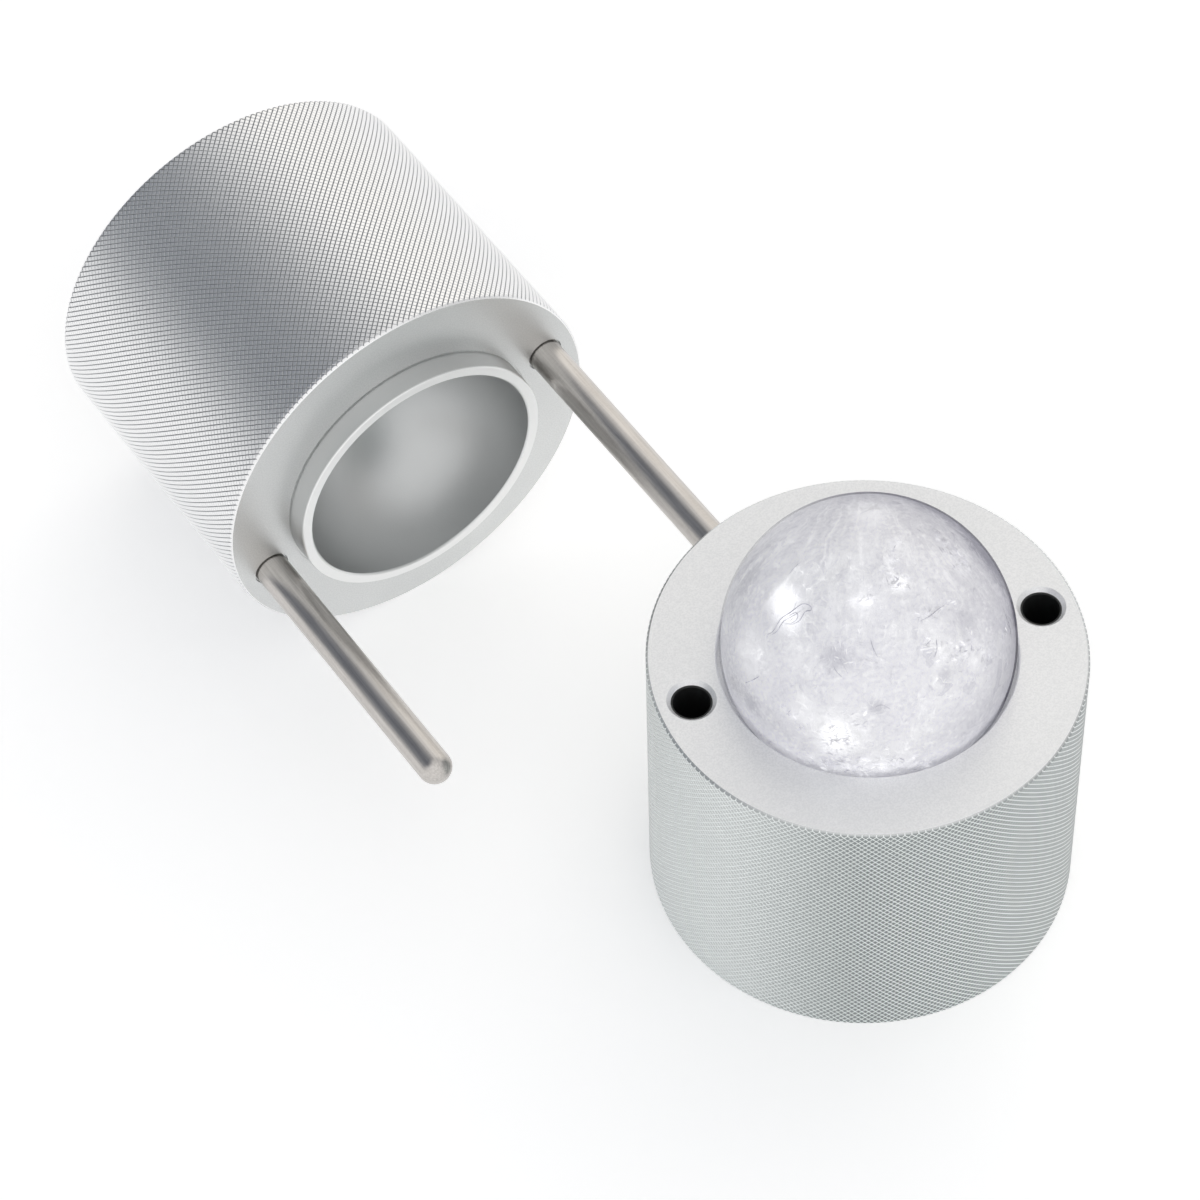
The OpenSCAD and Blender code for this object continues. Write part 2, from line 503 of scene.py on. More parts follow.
def makeMould(name, knurlMesh, material, low, holes, cuts, matrix=Matrix.Identity(4)):
    # The knurled side, two flat ends with their holes, the mating face's first, and the turned cuts
    bm = bmesh.new()
    bm.from_mesh(knurlMesh)
    bmesh.ops.translate(bm, verts=bm.verts, vec=(0, 0, low))
    rim = circle(mould["radius"] - mould["edgeBevel"], knurl["around"], 0.0, math.pi / knurl["around"])
    for height, ends in zip((low + mould["height"], low), holes):
        flatFace(bm, height, rim, ends)
    for profile, count, x in cuts:
        turned(bm, profile, count, x)
    mesh = welded(name, bm, knurl["bodyWeld"])
    paintMould(mesh, low)
    return finished(mesh, material, knurl["smooth"], matrix)


def makeLowerMould(knurlMesh, material):
    m = mould
    bore, recess, top = m["boreRadius"], m["recessRadius"], m["height"]
    wideBore, wideRecess = bore + m["boreBevel"], recess + m["recessBevel"]
    mouths = [(wideBore, m["borePoints"], side * m["guideX"]) for side in (-1, 1)]
    cuts = [([(wideBore, 0.0), (bore, m["boreBevel"]), (bore, top - m["boreBevel"]), (wideBore, top)],
             count, x) for _, count, x in mouths]
    floor = top - m["recessDepth"]
    centre = floor + m["ringGap"]
    mouth = math.sqrt(m["cavityRadius"] ** 2 - (m["ringGap"] + m["mouthBevel"]) ** 2)
    cuts.append(([(wideRecess, top), (recess, top - m["recessBevel"]), (recess, floor),
                  (m["cavityRadius"] + m["mouthBevel"], floor)]
                 + dome(m["cavityRadius"], centre, mouth, m["bowlRings"]), m["turnedPoints"], 0.0))
    return makeMould("lowerMould", knurlMesh, material, 0.0,
                     [mouths + [(wideRecess, m["turnedPoints"], 0.0)], mouths], cuts)


def makeUpperMould(knurlMesh, material):
    m = mould
    ring, seat, foot = m["ringRadius"], m["seatRadius"], m["ringRadius"] + m["footWidth"]
    reliefs = [(m["reliefRadius"], m["borePoints"], side * m["guideX"]) for side in (-1, 1)]
    cuts = [([(radius, 0.0), (radius, -m["reliefDepth"]), (seat, -m["reliefDepth"]),
              (seat, -m["seatDepth"]), (0.0, -m["seatDepth"])], count, x) for radius, count, x in reliefs]
    end = m["ringHeight"]
    mouth = math.sqrt(m["cavityRadius"] ** 2 - m["lipBevel"] ** 2)
    cuts.append(([(foot, 0.0), (foot, -m["footDepth"]), (ring, -m["footDepth"]),
                  (ring, end - m["ringBevel"]), (ring - m["ringBevel"], end),
                  (m["cavityRadius"] + m["lipBevel"], end)]
                 + dome(m["cavityRadius"], end, mouth, m["bowlRings"]), m["turnedPoints"], 0.0))
    return makeMould("upperMould", knurlMesh, material, -m["height"],
                     [reliefs + [(foot, m["turnedPoints"], 0.0)], []], cuts, lyingMatrix)


# Painted light: the lower half is painted lighter and the upper half darker, lit and shaded copies of one
# aluminium
lowerFinish = mouldFinish("blastedAluminiumLower", {
    **mouldLook, "colour": (0.93, 0.932, 0.935, 1),
    "colourDeep": (0.905, 0.91, 0.913, 1), "speckColour": (0.72, 0.73, 0.74, 1),
    # painted light: the groove walls are painted near white as a painted highlight, the crests dark as a
    # painted darker reflection, and the edge bevel grey as painted shade
    "crestPaintedLight": (0.25, 0.275, 0.275, 1), "crestShare": 0.97, "edgePaintedLight": (0.70, 0.715, 0.715, 1),
    "pitPaintedLight": (0.96, 0.985, 0.98, 1), "pitShare": 1.0, "pitFrom": 0.02, "pitFull": 0.45,
    "pitRough": 0.0, "pitHaze": 0.35, "faceHaze": 0.45,
    # painted light: crests lighter towards the left and darker towards the right
    "sides": [((-0.952, 0.306, 0), 0.0, 0.7, 0.80, (0.64, 0.665, 0.66, 1)),
              ((0.952, -0.306, 0), 0.35, 0.95, 0.35, (0.42, 0.445, 0.455, 1))]})
upperFinish = mouldFinish("blastedAluminiumUpper", {
    **mouldLook, "place": lyingPlace, "colour": (0.76, 0.77, 0.765, 1),
    "colourDeep": (0.73, 0.74, 0.737, 1), "speckColour": (0.60, 0.61, 0.61, 1), "ringShare": 1.0})
knurlMesh = makeKnurl(lowerFinish)
lowerMould = makeLowerMould(knurlMesh, lowerFinish)
upperMould = makeUpperMould(knurlMesh, upperFinish)
bpy.data.meshes.remove(knurlMesh)
print("both halves made")


# Guide rods

rod = {
    "radius": 4.0 * mm,
    "reach": 72.0 * mm,
    "seated": 22.0 * mm,
    "footBevel": 0.4 * mm,
    "points": 96,
    "tipRings": 16,
    "neckRings": 8,
    "colour": (0.640, 0.612, 0.585, 1),
    "streakColour": (0.50, 0.475, 0.45, 1),
    "roughness": 0.32,
    "lineStretch": (1.0, 1.0, 0.03),
    "lineScale": 2400.0,
    "ringStretch": (0.12, 0.12, 1.0),
    "ringScale": 5200.0,
    "smudgeScale": 160.0,
    "bump": 0.12,
    "bumpDepth": 0.02 * mm,
    "smooth": math.radians(32),
}


def rodFinish():
    board = newFinish("groundStainless")
    where = board.place(*lyingPlace)
    lines = board.cloud(board.vector("MULTIPLY", where, rod["lineStretch"]), rod["lineScale"], 3.0, 0.6)
    rings = board.cloud(board.vector("MULTIPLY", where, rod["ringStretch"]), rod["ringScale"], 2.0, 0.6)
    smudge = board.cloud(where, rod["smudgeScale"], 3.0, 0.5)
    base = board.blend(board.ramp(lines, 0.35, 0.7), rod["streakColour"], rod["colour"])
    return board.close(board.surface({
        "Base Color": board.blend(board.ramp(rings, 0.3, 0.7) * 0.4, base, rod["colour"]),
        "Roughness": rod["roughness"] + (lines - 0.5) * 0.14 + (smudge - 0.5) * 0.1, "Metallic": 1.0,
        "Normal": board.bump(rod["bump"], rod["bumpDepth"], lines * 0.5 + rings)}))


def turnedPair(names, profile, values, material, matrix=Matrix.Identity(4)):
    # The left one and the right one of two pieces at the guide places
    pair = []
    for name, side in zip(names, (-1, 1)):
        bm = bmesh.new()
        turned(bm, profile, values["points"], side * mould["guideX"])
        pair.append(finished(welded(name, bm, tiny), material, values["smooth"], matrix))
    return pair


def rodProfile():
    r, bevel, foot, rings = rod["radius"], rod["footBevel"], -rod["seated"], rod["neckRings"]
    neck = rod["reach"] - r
    return ([(0.0, foot), (r - bevel, foot), (r, foot + bevel)]
            + [(r, neck * i / rings) for i in range(rings)] + dome(r, neck, r, rod["tipRings"], 1))


rods = turnedPair(("leftGuideRod", "rightGuideRod"), rodProfile(), rod, rodFinish(), lyingMatrix)
print("guide rods made")


# Guide bushes

bush = {
    "innerRadius": 4.08 * mm,
    "outerRadius": 4.53 * mm,
    "inset": 0.9 * mm,
    "lip": 0.12 * mm,
    "points": 64,
    "colour": (0.010, 0.011, 0.011, 1),
    "wornColour": (0.022, 0.026, 0.026, 1),
    "roughness": 0.55,
    "grainScale": 900.0,
    "wornScale": 300.0,
    "bump": 0.3,
    "bumpDepth": 0.03 * mm,
    "smooth": math.radians(32),
}


def bushFinish():
    board = newFinish("blackLiner")
    where = board.place()
    grain = board.cloud(where, bush["grainScale"], 4.0, 0.6)
    worn = board.cloud(board.vector("MULTIPLY", where, (1.0, 1.0, 0.2)), bush["wornScale"], 3.0, 0.6)
    return board.close(board.surface({
        "Base Color": board.blend(board.ramp(worn, 0.45, 0.75), bush["colour"], bush["wornColour"]),
        "Roughness": bush["roughness"] + (grain - 0.5) * 0.2,
        "Normal": board.bump(bush["bump"], bush["bumpDepth"], grain)}))


def bushProfile():
    low, high = bush["inset"], mould["height"] - bush["inset"]
    inner, outer, lip = bush["innerRadius"], bush["outerRadius"], bush["lip"]
    return [(inner, low + lip), (inner + lip, low), (outer, low), (outer, high),
            (inner + lip, high), (inner, high - lip), (inner, low + lip)]


bushes = turnedPair(("leftGuideBush", "rightGuideBush"), bushProfile(), bush, bushFinish())
print("guide bushes made")


# Ice ball: a clouded core with cracks and flakes round it, under a clear outer layer

ice = {
    "radius": 32.2 * mm,
    "centre": Vector((0, 0, 78.2)) * mm,
    "ledgeHeight": 68.45 * mm,
    "bowlCentre": 68.4 * mm,
    "bowlRadius": 29.25 * mm,
    "clearLayer": 0.4 * mm,
    "coreRelief": 0.2 * mm,
    "dentScale": 130.0,
    "hollowScale": 60.0,
    "dentShare": 0.6,
    "smooth": math.radians(50),
    "points": 256,
    "rings": 150,
    "cloudColour": (0.875, 0.87, 0.91, 1),
    "paleColour": (0.965, 0.965, 0.98, 1),
    "veinAndShadeColour": (0.53, 0.525, 0.595, 1),
    "whiteAndLitColour": (0.985, 0.985, 0.99, 1),
    "rimShadeColour": (0.29, 0.285, 0.345, 1),
    "glossColour": (0.70, 0.70, 0.76, 1),
    "paleGlossColour": (0.78, 0.78, 0.84, 1),
    # painted glow: emission that stands in for light through the ice, stronger where it is cracked, streaked
    # or near the metal
    "innerGlow": (0.125, 0.125, 0.13, 1),
    "glowColour": (0.24, 0.24, 0.24, 1),
    "streakGlow": (0.17, 0.17, 0.17, 1),
    "footGlow": (0.13, 0.13, 0.135, 1),
    "footHeights": (3.0 * mm, -5.0 * mm),
    "fanHeight": 1.25,
    "driftScale": 95.0,
    "brushDrift": 0.005,
    "cloudDrift": 0.009,
    "puffScale": 55.0,
    "wispScale": 230.0,
    "gritScale": 700.0,
    "shardScale": 420.0,
    "streaksAcross": 9.0,
    "streaksAlong": 46.0,
    "meltScale": 30.0,
    "meltBump": 0.12,
    "meltDepth": 0.8 * mm,
    "bump": 0.6,
    "bumpDepth": 0.5 * mm,
    "crystalScale": 150.0,
    "fibreScale": 1000.0,
    "fibreStretch": 0.965,
    # soft bright and dark places on the ball: aside and up of its middle as shares of its
    # radius from the front, radius in mm, strength; a negative strength is a dark place. Some are white
    # patches and dark veins in the ice, others painted light: painted shade round the upper rims, and lighter
    # places on the left, the top and the foot, which also glow
    "places": [
        (-0.22, -0.63, 7.5, 1.0), (0.10, -0.78, 8.0, 0.45), (-0.45, -0.50, 5.0, 0.4),
        (0.17, 0.38, 3.2, 0.9), (0.16, 0.62, 4.0, 0.55), (-0.10, 0.62, 6.0, 0.4),
        (0.68, -0.10, 4.5, 0.6), (0.42, -0.02, 3.0, 0.5), (-0.50, -0.10, 6.0, 0.35),
        (0.50, 0.58, 3.0, 0.30), (0.35, 0.12, 3.5, 0.35),
        (-0.25, -0.12, 4.0, -0.45), (0.02, -0.43, 2.4, -0.5), (0.47, -0.24, 2.6, -0.4),
        (-0.80, -0.42, 3.4, -0.45), (0.62, 0.14, 4.0, -0.3), (-0.28, -0.80, 2.6, -0.5),
        # painted shade round the upper right rim
        (0.84, 0.52, 10.0, -1.0), (0.98, 0.22, 9.0, -1.0), (0.68, 0.72, 10.0, -1.0), (0.42, 0.90, 8.0, -0.8),
        # painted shade at the upper left rim, and painted light on the upper left, the top and the left
        (-0.82, 0.45, 6.0, -0.3), (-0.50, 0.42, 8.0, 0.35), (0.0, 0.88, 7.0, 0.9), (-0.80, -0.1, 8.0, 0.5),
    ],
    # painted glints: glowing bright patches just under the surface that stand for highlights: place, radius
    # in mm, strength
    "paintedGlints": [
        (-0.57, 0.20, 5.6, 0.30), (-0.60, 0.28, 4.6, 0.30), (-0.54, 0.12, 3.4, 0.20),
        (-0.03, 0.25, 0.9, 0.30), (-0.07, 0.252, 0.9, 0.24), (-0.14, 0.256, 1.1, 0.14),
        (-0.11, 0.255, 2.8, 0.10), (-0.02, 0.27, 6.0, 0.08), (0.0, 0.80, 6.0, 0.08),
        (-0.24, -0.62, 3.4, 0.16), (-0.27, -0.71, 5.0, 0.12), (0.17, 0.39, 2.2, 0.10),
    ],
}
# The front that the places on the ball are counted from
iceAside = Vector((0.9519, -0.3060, -0.0116)).normalized()
iceFront = Vector((-0.1725, -0.5676, 0.8051)).normalized()
iceUp = iceFront.cross(iceAside).normalized()


def onIce(aside, up, depth):
    # The point so far under the ball's surface at that place
    front = math.sqrt(max(0.0, 1 - aside ** 2 - up ** 2))
    way = (iceAside * aside + iceUp * up + iceFront * front).normalized()
    return ice["centre"] + way * (ice["radius"] - depth)


def iceCoreFinish():
    board = newFinish("cloudedIce")
    where = board.place(ice["centre"])
    drift = board.vector("SUBTRACT", board.cloud(where, ice["driftScale"], 3.0, 0.55, out=1), (0.5, 0.5, 0.5))
    brushed = board.vector("ADD", where, board.scaled(drift, ice["brushDrift"]))
    aside, up, toFront = (board.dot(brushed, way) for way in (iceAside, iceUp, iceFront))
    warped = board.vector("ADD", where, board.scaled(drift, ice["cloudDrift"]))
    puffs = board.cloud(warped, ice["puffScale"], 6.0, 0.6, 0.4)
    wisps = board.cloud(warped, ice["wispScale"], 7.0, 0.68, 1.2)
    grit = board.cloud(warped, ice["gritScale"], 4.0, 0.7, 1.5)

    # Brushed streaks that fan out from above the ball's top
    spread = aside / (ice["radius"] * ice["fanHeight"] - up)
    streaks = board.cloud(board.join(spread * ice["streaksAcross"], up * ice["streaksAlong"], 0.0),
                          1.0, 7.0, 0.68, 0.3)
    fan = board.ramp(up, -0.010, 0.022) * board.ramp(toFront, -0.004, 0.010)

    # Feathers: fine fibres that change their way from one crystal to the next
    crystals = board.node("ShaderNodeTexVoronoi", None, {"Vector": warped, "Scale": ice["crystalScale"]},
                          out="Color")
    outward = board.vector("NORMALIZE", where)
    tilt = board.vector("SUBTRACT", crystals, (0.5, 0.5, 0.5))
    flatTilt = board.vector("SUBTRACT", tilt, board.scaled(outward, board.dot(tilt, outward)))
    lie = board.vector("NORMALIZE", flatTilt)
    along = board.dot(where, lie) * ice["fibreStretch"]
    feathers = board.cloud(board.vector("SUBTRACT", where, board.scaled(lie, along)), ice["fibreScale"],
                           2.0, 0.45, 0.1)
    feathered = board.ramp(wisps, 0.40, 0.58)

    # Shards: cells of a cracked, drawn-out mosaic, each a little lighter or darker
    mosaic = {"Vector": board.vector("MULTIPLY", warped, (1.0, 0.55, 1.0)), "Scale": ice["shardScale"]}
    facet = board.split(board.node("ShaderNodeTexVoronoi", None, mosaic, out="Color"))[0]
    edges = board.node("ShaderNodeTexVoronoi", {"feature": "DISTANCE_TO_EDGE"}, mosaic, out="Distance")
    shattered = board.ramp(puffs, 0.47, 0.60)
    cracked = (board.ramp(edges, 0.05, 0.0) * board.ramp(wisps, 0.48, 0.62)
               * (shattered * 0.8 + 0.2))

    def away(x, y, radius):
        # How far off a place on the ball is, counted in its own radius
        spot = onIce(x, y, ice["clearLayer"]) - ice["centre"]
        return board.vector("DISTANCE", where, spot, out=1) / (radius * mm)

    base = ice["cloudColour"]
    for share, colour in (
            (board.ramp(streaks, 0.38, 0.62) * (fan * 0.75 + 0.2), "paleColour"),
            (board.ramp(puffs, 0.42, 0.68) * 0.6, "paleColour"),
            (board.ramp(wisps, 0.55, 0.72) * 0.55, "whiteAndLitColour"),
            (board.ramp(wisps, 0.44, 0.26) * 0.55, "veinAndShadeColour"),
            (board.ramp(feathers, 0.50, 0.68) * (feathered * 0.45 + 0.1), "whiteAndLitColour"),
            (board.ramp(feathers, 0.50, 0.30) * (feathered * 0.1 + 0.16), "veinAndShadeColour"),
            (board.ramp(facet, 0.62, 0.95) * shattered * 0.6, "whiteAndLitColour"),
            (board.ramp(facet, 0.35, 0.05) * shattered * 0.35, "veinAndShadeColour")):
        base = board.blend(share, base, ice[colour])
    # Painted glow: the ice emits light though it is no lamp
    glow = board.blend(board.ramp(puffs, 0.3, 0.7, 0.7, 1.0), black, ice["innerGlow"])
    # Bright places are painted white and glow, dark places are painted darker and dim the glow: partly the
    # ice's own patches and veins, partly painted light and shade
    for x, y, radius, strength in ice["places"]:
        reach = away(x, y, radius) + (wisps - 0.5) * 1.3 + (grit - 0.5) * 1.1
        spot = board.ramp(reach, 0.2, 1.1, abs(strength), 0.0)
        base = board.blend(spot, base, ice["whiteAndLitColour"] if strength > 0 else ice["veinAndShadeColour"])
        if strength > 0:
            glow = board.blend(spot * board.ramp(wisps, 0.36, 0.6), glow, ice["glowColour"], "ADD")
        else:
            glow = board.blend(spot * 0.8, glow, black)
    for share, colour in ((cracked * 0.9, white), (board.ramp(grit, 0.60, 0.68) * 0.25, white),
                          (board.ramp(grit, 0.38, 0.30) * 0.12, ice["veinAndShadeColour"])):
        base = board.blend(share, base, colour)
    # Painted glints: highlights painted as glow
    for x, y, radius, strength in ice["paintedGlints"]:
        reach = away(x, y, radius) + (wisps - 0.5) * 0.6 + (feathers - 0.5) * 0.6
        glow = board.blend(board.ramp(reach, 0.1, 1.15, strength, 0.0), glow, white, "ADD")
    # Painted glow on the cracks, feathers, streaks and the foot by the metal
    atFoot = board.ramp(board.split(where)[2], *ice["footHeights"])
    for share, colour in (
            (cracked, "glowColour"), (board.ramp(feathers, 0.52, 0.70) * feathered * 0.5, "streakGlow"),
            (board.ramp(streaks, 0.50, 0.68) * fan, "streakGlow"),
            (atFoot * board.ramp(wisps, 0.3, 0.6, 0.5, 1.0), "footGlow")):
        glow = board.blend(share, glow, ice[colour], "ADD")
    relief = wisps + grit * 0.4 + feathers * 0.5 + facet * shattered * 0.5
    return board.close(board.surface({
        "Base Color": base, "Roughness": 0.45 - (wisps - 0.5) * 0.4, "Emission Color": glow,
        "Emission Strength": 1.0, "Normal": board.bump(ice["bump"], ice["bumpDepth"], relief)}))


def iceShellFinish():
    board = newFinish("clearIce")
    where = board.place(ice["centre"])
    melt = board.cloud(where, ice["meltScale"], 2.0, 0.4)
    wave = board.bump(ice["meltBump"], ice["meltDepth"], melt)
    edge = board.node("ShaderNodeLayerWeight", None, {"Blend": 0.5, "Normal": wave}, out="Facing")
    # Painted shade: the clear layer is tinted darker towards its rim, most towards the upper right
    toward = board.dot(where, iceUp * 0.6 + iceAside * 0.8) / ice["radius"]
    shade = edge ** 1.8 * board.ramp(toward, -0.3, 0.9, 0.2, 1.0)
    inner, rim = (board.node("ShaderNodeBsdfTransparent", None, {"Color": colour})
                  for colour in (white, ice["rimShadeColour"]))
    clear = board.node("ShaderNodeMixShader", None, {0: shade, 1: inner, 2: rim})
    gloss = board.surface({"Base Color": board.blend(melt, ice["glossColour"], ice["paleGlossColour"]),
                           "Metallic": 1.0, "Roughness": 0.12 + melt * 0.1, "Normal": wave})
    return board.close(board.node("ShaderNodeMixShader", None,
                                  {0: edge ** 4.0 * 0.12 + 0.05, 1: clear, 2: gloss}))


def iceProfile(inset):
    # From the pole on top down to the ledge, and then along the bowl to the lower pole
    radius, centre = ice["radius"] - inset, ice["centre"].z
    ledge = ice["ledgeHeight"] + inset
    profile = []
    for i in range(ice["rings"] + 1):
        angle = math.pi * i / ice["rings"]
        reach, height = radius * math.sin(angle), centre + radius * math.cos(angle)
        if height < ledge:
            if profile[-1][1] > ledge:
                profile.append((math.sqrt(radius ** 2 - (ledge - centre) ** 2), ledge))
                profile.append((ice["bowlRadius"] - inset, ledge))
            sunk = (ice["bowlRadius"] - inset) ** 2 - (height - ice["bowlCentre"]) ** 2
            reach = min(reach, math.sqrt(max(0.0, sunk)))
        profile.append((reach, height))
    profile[0], profile[-1] = (0.0, profile[0][1]), (0.0, profile[-1][1])
    return profile


def iceForm(name, inset, material, relief=0.0):
    bm = bmesh.new()
    turned(bm, iceProfile(inset), ice["points"])
    for vert in bm.verts:
        if relief and vert.co.z > ice["ledgeHeight"]:
            way = vert.co - ice["centre"]
            dent = (abs(noise.fractal(way * ice["dentScale"], 0.8, 2.1, 4))
                    + abs(noise.noise(way * ice["hollowScale"]))) * ice["dentShare"]
            vert.co -= way.normalized() * relief * min(1.0, dent)
    return finished(welded(name, bm, tiny), material, ice["smooth"])


# Flakes lie in loose swarms between the core and the clear surface
flakes = {
    "seed": 41,
    "shallow": 0.05 * mm,
    "deep": 0.35 * mm,
    "thin": 0.08,
    "scale": 2.3,
    "darkShare": 0.05,
    "spread": 0.55,
    "rimLimit": 0.93,
    "glow": (0.36, 0.36, 0.36, 1),
    "lowGlow": (0.02, 0.02, 0.02, 1),
    "colour": (0.99, 0.99, 1.0, 1),
    "frostScale": 500.0,
    # aside, up, half length and half width of the swarm as shares of the ball's radius,
    # its turn in degrees, how many, flake length in mm, stretch
    "swarms": [
        (0.53, 0.60, 0.17, 0.045, -52, 70, 0.8, 1.8),
        (0.40, 0.20, 0.16, 0.03, 28, 44, 0.7, 2.2),
        (0.56, -0.07, 0.14, 0.07, 15, 70, 0.8, 1.7),
        (0.36, -0.04, 0.03, 0.08, 0, 12, 1.5, 3.0),
        (0.72, -0.10, 0.08, 0.10, 60, 36, 0.7, 1.8),
        (0.90, 0.12, 0.02, 0.18, -10, 24, 0.9, 2.6),
        (0.13, 0.58, 0.035, 0.13, -22, 34, 0.8, 2.6),
        (0.17, 0.38, 0.07, 0.06, 0, 36, 0.9, 1.5),
        (-0.22, -0.62, 0.17, 0.13, 20, 120, 0.8, 1.7),
        (-0.52, -0.52, 0.16, 0.03, -48, 36, 0.7, 2.0),
        (0.05, -0.82, 0.45, 0.07, 0, 170, 0.8, 1.8),
        (-0.10, -0.13, 0.20, 0.03, -5, 34, 0.7, 2.4),
        (-0.05, 0.28, 0.06, 0.02, 5, 14, 0.6, 2.0),
        (0.30, -0.45, 0.30, 0.12, 35, 50, 0.5, 2.4),
        (0.0, 0.0, 0.9, 0.9, 0, 130, 0.5, 3.0),
        (0.0, 0.1, 0.5, 0.5, 80, 90, 0.9, 6.0),
    ],
}


def iceFlakeFinish():
    board = newFinish("whiteFlake")
    frost = board.cloud(board.place(ice["centre"]), flakes["frostScale"], 3.0, 0.6)
    tone = board.attribute("tone")
    # Painted glow: the flakes emit light, brighter where the frost noise is high and the tone light
    lit = board.ramp(frost, 0.4, 0.6) * tone
    return board.close(board.surface({
        "Base Color": board.blend(tone, ice["veinAndShadeColour"], flakes["colour"]),
        "Roughness": 0.22 + frost * 0.2, "Specular IOR Level": 0.8, "Emission Strength": 1.0,
        "Emission Color": board.blend(lit, flakes["lowGlow"], flakes["glow"])}))


def flakeShape():
    # An irregular thin shard with a soft ridge
    outline = [(1.0, 0.0), (0.62, 0.30), (0.1, 0.42), (-0.35, 0.26), (-0.95, 0.12),
               (-0.70, -0.22), (-0.12, -0.38), (0.45, -0.25)]
    points = [(x, y, 0.0) for x, y in outline]
    points += [(0.08, 0.05, flakes["thin"]), (-0.05, -0.04, -flakes["thin"])]
    count = len(outline)
    faces = [(i, (i + 1) % count, count) for i in range(count)]
    faces += [((i + 1) % count, i, count + 1) for i in range(count)]
    return placed("flakeShape", plainMesh("flakeShape", points, [], faces))


def flakePlaces():
    # One point for each flake, with its turn and size
    rng = random.Random(flakes["seed"])
    points, turns, sizes, tones = [], [], [], []
    for aside, up, long, wide, angle, count, length, stretch in flakes["swarms"]:
        c, s = math.cos(math.radians(angle)), math.sin(math.radians(angle))
        for _ in range(count):
            u, v = rng.gauss(0, flakes["spread"]) * long, rng.gauss(0, flakes["spread"]) * wide
            x, y = aside + u * c - v * s, up + u * s + v * c
            if x * x + y * y > flakes["rimLimit"]:
                continue
            place = onIce(x, y, rng.uniform(flakes["shallow"], flakes["deep"]))
            out = (place - ice["centre"]).normalized()
            lie = iceAside * c + iceUp * s
            lie = (lie - out * lie.dot(out)).normalized() + out * rng.gauss(0, 0.08)
            lie = (Matrix.Rotation(rng.gauss(0, 0.6), 3, out) @ lie).normalized()
            flat = lie.cross(out.cross(lie)).normalized()
            flat = Matrix.Rotation(rng.gauss(0, 0.3), 3, lie) @ flat
            across = flat.cross(lie)
            turns.append(tuple(Matrix((lie, across, flat)).transposed().to_euler("XYZ")))
            size = length * mm * flakes["scale"] * rng.uniform(0.3, 1.1) * 0.5
            sizes.append((size, size / stretch * rng.uniform(0.6, 1.5), size))
            points.append(tuple(place))
            tones.append(0.3 if rng.random() < flakes["darkShare"] else rng.uniform(0.6, 1.0))
    mesh = plainMesh("flakePlaces", points, [], [])
    for label, rows in (("turn", turns), ("size", sizes)):
        mark(mesh, label, [value for row in rows for value in row], "FLOAT_VECTOR", "vector")
    mark(mesh, "tone", tones)
    return placed("flakePlaces", mesh)


def flakeTree():
    board, given = newTree("iceFlakes", (("Places", "Geometry"), ("Shard", "Object"),
                                         ("Finish", "Material")), "Flakes")
    turn, size = (board.marked(label, "FLOAT_VECTOR") for label in ("turn", "size"))
    strewn = board.node("GeometryNodeInstanceOnPoints", None, {
        "Points": given["Places"], "Instance": board.shape(given["Shard"]), "Scale": size,
        "Rotation": board.node("FunctionNodeEulerToRotation", None, {0: turn})})
    return closeTree(board, board.real(strewn), given["Finish"])


def makeFlakes(finish):
    shard = flakeShape()
    made = placed("iceFlakes", grown(flakePlaces(), flakeTree(), {"Shard": shard, "Finish": finish},
                                     [shard]))
    print("iceFlakes has", len(made.data.polygons), "faces")
    return made


# Fine crack lines under the clear surface
cracks = {
    "points": 60,
    "sides": 6,
    "breakScale": 900.0,
    "colour": (0.36, 0.36, 0.43, 1),
    "paleColour": (0.72, 0.72, 0.78, 1),
    "lines": [
        # radius in mm, depth in mm, places that the line passes
        (0.085, 0.16, [(-0.73, 0.03), (-0.66, 0.06), (-0.61, 0.14), (-0.54, 0.19), (-0.47, 0.24),
                       (-0.42, 0.23), (-0.41, 0.20), (-0.45, 0.19), (-0.49, 0.13), (-0.55, 0.105),
                       (-0.60, 0.12)]),
        (0.06, 0.2, [(-0.60, 0.12), (-0.56, 0.16), (-0.51, 0.185), (-0.50, 0.15), (-0.54, 0.115),
                     (-0.60, 0.12)]),
        (0.06, 0.16, [(-0.70, 0.025), (-0.635, 0.06), (-0.59, 0.125), (-0.52, 0.168), (-0.455, 0.212)]),
        (0.08, 0.2, [(-0.84, -0.28), (-0.79, -0.26), (-0.74, -0.23)]),
        (0.05, 0.2, [(-0.55, 0.44), (-0.51, 0.49), (-0.47, 0.52)]),
        (0.06, 0.2, [(0.02, -0.11), (-0.01, -0.05), (-0.03, 0.02)]),
        (0.05, 0.2, [(-0.28, -0.14), (-0.25, -0.20), (-0.21, -0.24)]),
        (0.05, 0.2, [(-0.24, -0.10), (-0.20, -0.17), (-0.17, -0.22)]),
        (0.05, 0.2, [(0.0, -0.44), (0.05, -0.42), (0.11, -0.45)]),
        (0.06, 0.2, [(0.28, 0.12), (0.36, 0.16), (0.44, 0.22), (0.50, 0.24)]),
        (0.07, 0.2, [(0.39, -0.12), (0.41, -0.05), (0.405, 0.02)]),
        (0.05, 0.2, [(0.94, 0.0), (0.93, 0.08), (0.90, 0.16), (0.87, 0.24)]),
    ],
}


def crackFinish():
    board = newFinish("crackLine")
    broken = board.cloud(board.place(ice["centre"]), cracks["breakScale"], 2.0, 0.5)
    return board.close(board.surface({
        "Base Color": board.blend(board.ramp(broken, 0.42, 0.58), cracks["colour"], cracks["paleColour"]),
        "Roughness": 0.25 + broken * 0.2}))


